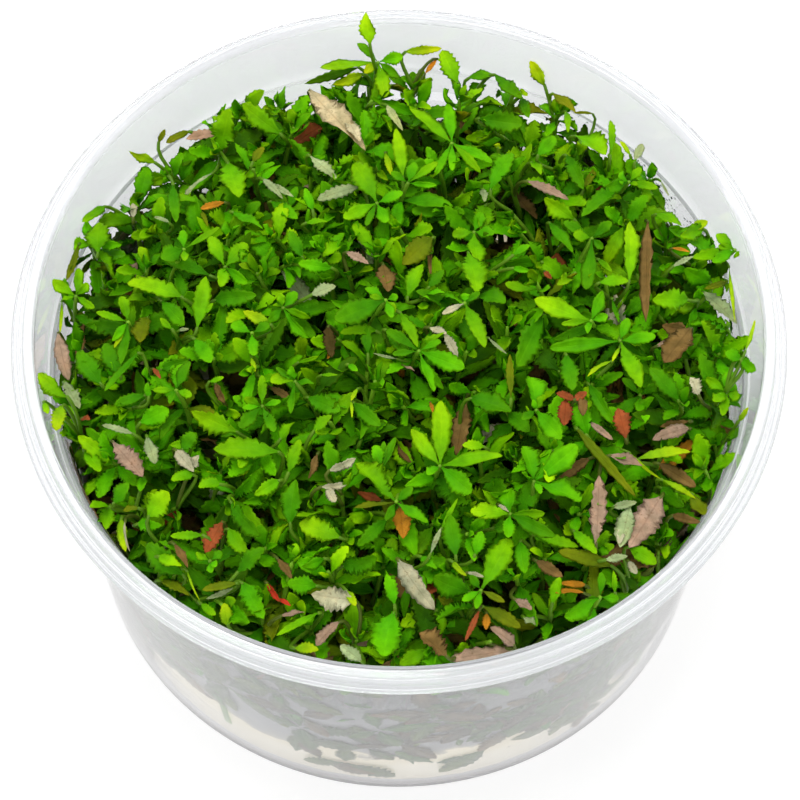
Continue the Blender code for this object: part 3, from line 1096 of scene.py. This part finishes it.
class Veil:
    """How near to the camera the leaves in plain sight are, pixel by pixel, so that no other leaf hides them."""

    def __init__(self):
        self.depth = np.full((800, 800), np.inf)

    def hang(self, grid):
        n, rows, cols = grid.shape[:3]
        a, b = np.linspace(0, rows - 1, 57), np.linspace(0, cols - 1, 17)
        i, j = np.minimum(a.astype(int), rows - 2), np.minimum(b.astype(int), cols - 2)
        fa, fb = (a - i)[None, :, None, None], (b - j)[None, None, :, None]
        g = grid[:, i] * (1 - fa) + grid[:, i + 1] * fa
        g = g[:, :, j] * (1 - fb) + g[:, :, j + 1] * fb
        pixel, depth = pixel_of(g.reshape(-1, 3))
        x, y = np.rint(pixel).astype(int).T
        ok = (x >= 0) & (x < 800) & (y >= 0) & (y < 800)
        np.minimum.at(self.depth, (y[ok], x[ok]), depth[ok])

    def open(self, px, py, rx, ry):
        y, x = np.mgrid[0:800, 0:800]
        spot = ((x - px) / rx) ** 2 + ((y - py) / ry) ** 2 < 1
        deep = over_canopy(px, py, -7.5)
        self.depth[spot] = np.minimum(self.depth[spot], float((deep - EYE) @ FORWARD))

    def spread(self):
        d = self.depth
        for axis in (0, 1):
            d = np.minimum(d, np.minimum(np.roll(d, 1, axis), np.roll(d, -1, axis)))
        self.depth = d

    def bound(self, left, right):
        """Nothing but the leaves in plain sight passes these two outlines, each a row of pixels from its top down."""
        y, x = np.mgrid[0:800, 0:800]
        (lx, ly), (rx, ry) = np.array(left, float).T, np.array(right, float).T
        beyond = (y < 420) & ((x < np.interp(y, ly, lx)) | (x > np.interp(y, ry, rx)) | (y < min(ly[0], ry[0])))
        self.depth[beyond] = np.minimum(self.depth[beyond], 1e6)

    def in_front(self, points):
        pixel, depth = pixel_of(points)
        x, y = np.moveaxis(np.clip(np.rint(pixel).astype(int), 0, 799), -1, 0)
        near = self.depth[y, x]
        return np.isfinite(near) & (depth < near - 0.25)

    def clear_of(self, verts):
        return self.in_front(verts).mean(axis=1) < 0.10


def scatter_tips(count, radius, placed):
    """Places for shoot tips, each far enough from the others, round those already placed."""
    found = [np.array(p[:2]) for p in placed]
    least, tries = 5.2, 0
    while len(found) < count:
        a, r = rng.uniform(0, 2 * math.pi), radius * math.sqrt(rng.uniform())
        p = np.array([r * math.cos(a), r * math.sin(a)])
        if min((np.linalg.norm(p - q) for q in found), default=99) >= least:
            found.append(p)
            tries = 0
        else:
            tries += 1
            if tries > 60:
                least, tries = least * 0.97, 0
    return np.array(found)[len(placed):]


SHOOTS = 205


def far_glow(base):
    """Painted light: leaves of the far edge stand against the white behind them, so their colour is made lighter and
    yellower.
    """
    share = np.clip((base[:, 1:2] - 24) / 18, 0, 1)
    return 1 + share * np.array([[0.40, 0.16, 0.0]])


def one(x):
    return np.array([x], float)


def chord_leaf(heap, base, tip, width, tone, veil, crown):
    """A leaf from base to tip, its upper side turned to the light."""
    chord = tip - base
    length = np.linalg.norm(chord)
    chord = chord / length
    facing = unit(np.array([0.0, -0.32, 0.95]))
    up = unit(facing - chord * (facing @ chord))
    roll = rng.normal(0, 0.30)
    up = math.cos(roll) * up + math.sin(roll) * np.cross(chord, up)
    bend = rng.normal(-0.1, 0.3) if crown else rng.normal(-0.3, 0.35)
    bend = float(np.clip(bend, -0.9, 0.9)) or 0.01
    way = math.cos(bend / 2) * chord - math.sin(bend / 2) * up
    up = math.cos(bend / 2) * up + math.sin(bend / 2) * chord
    odd = tone in "KPSWREAX"
    # far leaves are painted lighter and yellower, as if lit from behind
    colour = TONES[tone] * rng.uniform(0.88, 1.12) * far_glow(base[None])[0]
    put_leaves(
        heap, FINE, base[None], way[None], up[None],
        one(length * (bend / 2) / math.sin(bend / 2)), one(width * 0.1274 / 2 * 1.06 / max(math.cos(roll), 0.7)),
        one(rng.uniform(0.50, 0.60) if crown else rng.uniform(0.42, 0.54)),
        one(rng.uniform(0.44, 0.62) if crown else rng.uniform(0.50, 0.82)),
        one(bend), one(rng.uniform(0.10, 0.60)), one(rng.normal(0, 0.38)),
        one(rng.uniform(0.16, 0.34) if odd else rng.uniform(0.08, 0.27)), one(0.13),
        one(rng.uniform(0.04, 0.11) if crown else rng.uniform(0.07, 0.16)),
        colour[None], one(rng.uniform(0.9, 1.0) if odd else (0.45 if tone == "O" else rng.uniform(0, 0.15))),
        inside=base[2] < 55.5, cover=veil,
    )


def grow():
    heaps = [Heap() for _ in NODES]
    veil = Veil()

    def owner_of(point):
        return int(np.argmin(np.linalg.norm(FEET[:, :2] - point[:2], axis=1)))

    # crowns and single leaves in plain sight
    crowns = []
    for row in CROWNS.strip().splitlines():
        head, *parts = row.split("|")
        cx, cy, level = (float(t) for t in head.split())
        centre = over_canopy(cx, cy, LIFT[int(level)] + rng.uniform(-0.5, 0.8))
        crowns.append(centre)
        heap = heaps[owner_of(centre)]
        for part in parts:
            tx, ty, width, tone = part.split()
            tip = at_pixel(float(tx), float(ty), min(centre[2] + rng.uniform(-0.4, 1.6), 59.3))
            way = unit(tip - centre)
            chord_leaf(heap, centre + way * 0.25, tip, float(width), tone, veil, True)
    singles = []
    for row in LEAVES.strip().splitlines():
        bx, by, tx, ty, width, tone, level = row.split()
        level = float(level)
        if level > 10:
            base, tip = at_pixel(float(bx), float(by), min(level, 57.0)), at_pixel(float(tx), float(ty), level - 0.1)
        else:
            base = over_canopy(float(bx), float(by), LIFT[int(level)] - 0.8)
            tip = over_canopy(float(tx), float(ty), LIFT[int(level)])
            tip = at_pixel(float(tx), float(ty), float(np.clip(tip[2], base[2] - 2.5, base[2] + 3.0)))
        chord_leaf(heaps[owner_of(base)], base, tip, float(width), tone, veil, False)
        singles.append((base, unit(tip - base), tone, float(width)))
    veil.spread()
    for row in GAPS.replace("\n", "|").split("|"):
        if row.strip():
            veil.open(*(float(t) for t in row.split()))

    veil.bound(
        [(400, 56), (330, 62), (290, 72), (262, 84), (232, 100), (196, 120), (150, 152), (108, 194), (80, 226), (62, 262), (54, 310), (50, 360), (52, 420)],
        [(400, 56), (475, 66), (520, 78), (560, 94), (594, 112), (626, 136), (656, 162), (690, 202), (720, 242), (738, 290), (748, 340), (752, 380), (752, 420)],
    )

    tips = scatter_tips(SHOOTS, 43.2, crowns)
    places = [(c, True) for c in crowns] + [(np.array([*t, 0.0]), False) for t in tips]
    leaves = {"fine": [[] for _ in NODES], "plain": [[] for _ in NODES]}
    spine, spine_owner = [], []
    for tip, crown in places:
        own = owner_of(tip)
        heap = heaps[own]
        r = np.linalg.norm(tip[:2])
        out = tip[:2] / max(r, 1e-6)
        if crown:
            end = tip
        else:
            top = canopy(tip[:2]) - 0.9 + np.clip(rng.normal(0, 2.0), -4.5, 3.0)
            end = np.array([*tip[:2], top])
            for _ in range(9):
                if not veil.in_front(end + np.array([[0, 0, 1.2], [0, 0, 0.0], [0.6, 0, 0.6], [-0.6, 0, 0.6]])).any():
                    break
                end[2] -= 1.0
        foot = FEET[own, :2] + rng.uniform(-1.8, 1.8, 2)
        foot = np.array([*foot, GEL_TOP - 1.0])
        lean = np.array([*(out * rng.uniform(-0.1, 0.3) * (r / 45) + rng.normal(0, 0.33, 2)), 1.0])
        lean /= np.linalg.norm(lean)
        path = curve([foot, foot + [*rng.uniform(-1.5, 1.5, 2), 15], end - lean * 16 + [*rng.uniform(-1.5, 1.5, 2), 0], end - lean * 5, end], 15)
        young = rng.uniform()
        put_stem(heap, path, np.linspace(0.58, 0.27, len(path)), linear(*(rng.uniform(0.9, 1.15) * np.array([124, 176, 34]))))
        spine.append(path[5:])
        spine_owner.append(own)
        steps = np.linalg.norm(np.diff(path, axis=0), axis=1)
        arc = np.concatenate([[0], np.cumsum(steps)])
        total = arc[-1]
        turn = rng.uniform(0, 2 * math.pi)
        level = [
            # distance from tip, leaves, length, half width, angle from the axis, kind
            (0.3, 3, rng.uniform(2.4, 3.4), 0.27, rng.uniform(12, 30), "fine"),
            (1.4, rng.integers(3, 5), rng.uniform(4.4, 6.2), 0.21, rng.uniform(34, 60), "fine"),
            (4.0, rng.integers(3, 5), rng.uniform(5.8, 7.8), 0.185, rng.uniform(54, 80), "fine"),
            (7.6, 4, rng.uniform(6.2, 8.6), 0.175, rng.uniform(64, 92), "fine"),
            (12.0, 3, rng.uniform(6.2, 8.2), 0.17, rng.uniform(70, 98), "plain"),
            (17.5, 3, rng.uniform(5.8, 7.8), 0.17, rng.uniform(74, 106), "plain"),
            (24.0, 3, rng.uniform(5.4, 7.2), 0.17, rng.uniform(78, 112), "plain"),
            (31.0, 2, rng.uniform(5.0, 6.8), 0.17, rng.uniform(80, 118), "plain"),
        ]
        for depth, (back, many, size, slim, angle, kind) in enumerate(level):
            if back > total - 3 or (crown and depth == 1):
                continue
            if crown and depth == 0:
                size *= 0.75
            s = total - back
            at = np.array([np.interp(s, arc, path[:, c]) for c in range(3)])
            before = np.array([np.interp(s - 0.8, arc, path[:, c]) for c in range(3)])
            axis = unit(at - before)
            ref = unit(np.cross(axis, [0.3, 0.9, 0.1]))
            ref2 = np.cross(axis, ref)
            turn += math.pi / max(many, 1) + rng.uniform(-0.3, 0.3)
            for m in range(many):
                a = turn + 2 * math.pi * m / many + rng.uniform(-0.35, 0.35)
                tilt = math.radians(angle + rng.uniform(-16, 16))
                radial = math.cos(a) * ref + math.sin(a) * ref2
                way = math.cos(tilt) * axis + math.sin(tilt) * radial
                up = math.sin(tilt) * axis - math.cos(tilt) * radial
                grown = size * rng.uniform(0.78, 1.15)
                leaves[kind][own].append(
                    dict(base=at + radial * 0.2, way=way, up=up, length=grown, half=grown * slim * rng.uniform(0.80, 1.22),
                         depth=depth, young=young)
                )
    spine_owner = np.repeat(spine_owner, len(spine[0]))
    spine = np.concatenate(spine)

    # each single leaf joins the nearest shoot by its own stalk
    for base, way, tone, width in singles:
        drop = base[2] - spine[:, 2]
        far = np.linalg.norm(spine[:, :2] - base[:2], axis=1) + 0.35 * np.abs(drop - 5) + 100 * (drop < 2)
        k = int(np.argmin(far))
        stalk = curve([spine[k], spine[k] + [0, 0, 1.5], base - way * 1.6 - [0, 0, 0.9], base + way * 0.2], 7)
        colour = linear(104, 150, 24) if tone not in "KPWREAX" else linear(98, 116, 34)
        put_stem(heaps[owner_of(base)], stalk, np.linspace(0.30, min(0.24, width * 0.02 + 0.1), 7), colour)

    for own, heap in enumerate(heaps):
        for kind, kit in (("fine", FINE), ("plain", PLAIN)):
            group = leaves[kind][own]
            if not group:
                continue
            n = len(group)
            depth = np.array([g["depth"] for g in group])
            young = np.array([g["young"] for g in group])
            length = np.array([g["length"] for g in group])
            top = pick([BRIGHT, FRESH, YOUNG], [5, 3.4, 0.9], n)
            second = pick([BRIGHT, MID, FRESH, DEEP, OLIVE], [3, 4, 1.6, 1.6, 0.6], n)
            low = pick([MID, DEEP, OLIVE, BROWN, DARK], [2.6, 3.2, 2.6, 1.5, 1.0], n)
            colour = np.where((depth <= 1)[:, None], top, np.where((depth <= 3)[:, None], second * 1.08, low * 1.40))
            colour = colour * rng.uniform(0.72, 1.12, (n, 1)) * (0.84 + 0.3 * young[:, None])
            # far leaves are painted lighter and yellower, as if lit from behind
            colour = colour * far_glow(np.array([g["base"] for g in group]))
            odd = rng.uniform(size=n)
            strange = pick([PINK, PALE, BROWN, RUST, SILVER, ORANGE], [3, 1, 5, 1.4, 1, 0.6], n)
            strange_here = odd < np.where(depth <= 1, 0.0, 0.022)
            colour = np.where(strange_here[:, None], strange, colour)
            put_leaves(
                heap, kit,
                np.array([g["base"] for g in group]), np.array([g["way"] for g in group]), np.array([g["up"] for g in group]),
                length, np.array([g["half"] for g in group]),
                np.where(depth <= 1, rng.uniform(0.48, 0.60, n), rng.uniform(0.40, 0.54, n)),
                np.where(depth <= 1, rng.uniform(0.44, 0.66, n), rng.uniform(0.5, 0.9, n)),
                np.where(depth <= 1, rng.normal(-0.15, 0.5, n), rng.normal(-0.45, 0.75, n)),
                rng.uniform(0.10, 0.80, n),
                rng.normal(0, 0.65, n),
                rng.uniform(0.05, 0.32, n),
                rng.uniform(0.10, 0.15, n),
                rng.uniform(0.05, 0.16, n) * (depth > 0),
                colour,
                np.where(strange_here, 0.95, np.clip((depth - 3) * 0.2 + rng.uniform(-0.1, 0.2, n), 0, 0.8)),
                veil=veil,
            )
    return heaps


def wall_leaves(heaps, fans):
    """Leaves that lie flat against the inside of the wall in fans, down to the gel and some over its edge."""
    for index in range(fans):
        a = rng.uniform(0, 2 * math.pi)
        low = index % 8 == 0
        highest = 46.8 if math.sin(a) < -0.3 else 41.0
        z = rng.uniform(8.5, 14) if low else 15 + (highest - 17) * rng.uniform() ** 1.15
        pressed = low or rng.uniform() < 0.75
        turn = rng.uniform(0, 2 * math.pi)
        tone = pick([SAGE, MOSS, UMBER], [4, 3, 3], 1)[0]
        many = int(rng.integers(2, 4)) if low else int(rng.integers(3, 6))
        for k in range(many):
            slope = turn + 2 * math.pi * k / many + rng.uniform(-0.4, 0.4)
            length = rng.uniform(5.0, 9.0)
            rise = math.sin(slope) * length
            height = z + rise * 0.06
            if height < 3.2 or height + rise < 3.4 or height + rise > highest:
                continue
            r = float(inside_radius(height)) + (0.5 if pressed else -rng.uniform(0.5, 2.4))
            radial = np.array([math.cos(a), math.sin(a), 0.0])
            round_ = np.array([-math.sin(a), math.cos(a), 0.0])
            way = round_ * math.cos(slope) + np.array([0, 0, 1.0]) * math.sin(slope)
            base = radial * r + np.array([0, 0, height]) + way * 0.3
            own = int(np.argmin(np.linalg.norm(FEET[:, :2] - base[:2], axis=1)))
            put_leaves(
                heaps[own], SLIM, base[None], way[None], (radial * rng.choice([-1, 1]))[None],
                one(length), one(length * rng.uniform(0.18, 0.27)), one(rng.uniform(0.40, 0.56)), one(rng.uniform(0.6, 0.95)),
                one(rng.normal(0, 0.08 if pressed else 0.3)), one(rng.uniform(0, 0.12 if pressed else 0.4)),
                one(rng.normal(0, 0.05 if pressed else 0.3)),
                one(0.03), one(0.12), one(rng.uniform(0.10, 0.24)), tone[None] * rng.uniform(0.65, 1.25), one(rng.uniform(0.1, 0.6)),
            )


def make_plantlets():
    heaps = grow()
    wall_leaves(heaps, 285)
    leaf, stem = leaf_material(), stem_material()
    for name, heap in zip(NODES, heaps):
        obj = heap.build("plant_" + name[-2:], [leaf, stem])
        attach(obj, "root")
        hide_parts(name)


# ------------------------------------------------------------------ stage
def make_stage():
    floor = turned("floor", [(0, -12.0), (1500.0, -12.0), (1500.0, -0.02), (0, -0.02)], 96, floor_material())
    world = bpy.data.worlds.new("studio")
    bpy.context.scene.world = world
    world.use_nodes = True
    world.node_tree.nodes["Background"].inputs["Color"].default_value = (1.0, 1.0, 1.0, 1.0)
    world.node_tree.nodes["Background"].inputs["Strength"].default_value = 0.74

    def area(name, place, size, watts):
        data = bpy.data.lights.new(name, "AREA")
        data.shape, data.size, data.energy = "DISK", size, watts
        lamp = bpy.data.objects.new(name, data)
        lamp.location = place
        lamp.rotation_mode = "QUATERNION"
        lamp.rotation_quaternion = (-Vector(place)).to_track_quat("-Z", "Y")
        bpy.context.scene.collection.objects.link(lamp)

    area("key", (-0.10, 0.06, 0.8), 0.30, 1.9)
    area("fill", (0.3, 0.25, 0.8), 0.5, 0.5)
    bpy.context.scene.view_settings.view_transform = "Standard"


make_camera()
make_cup()
make_moisture()
make_droplets()
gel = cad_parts["gel"]
gel.data.materials.clear()
gel.data.materials.append(gel_material())
make_plantlets()
make_stage()
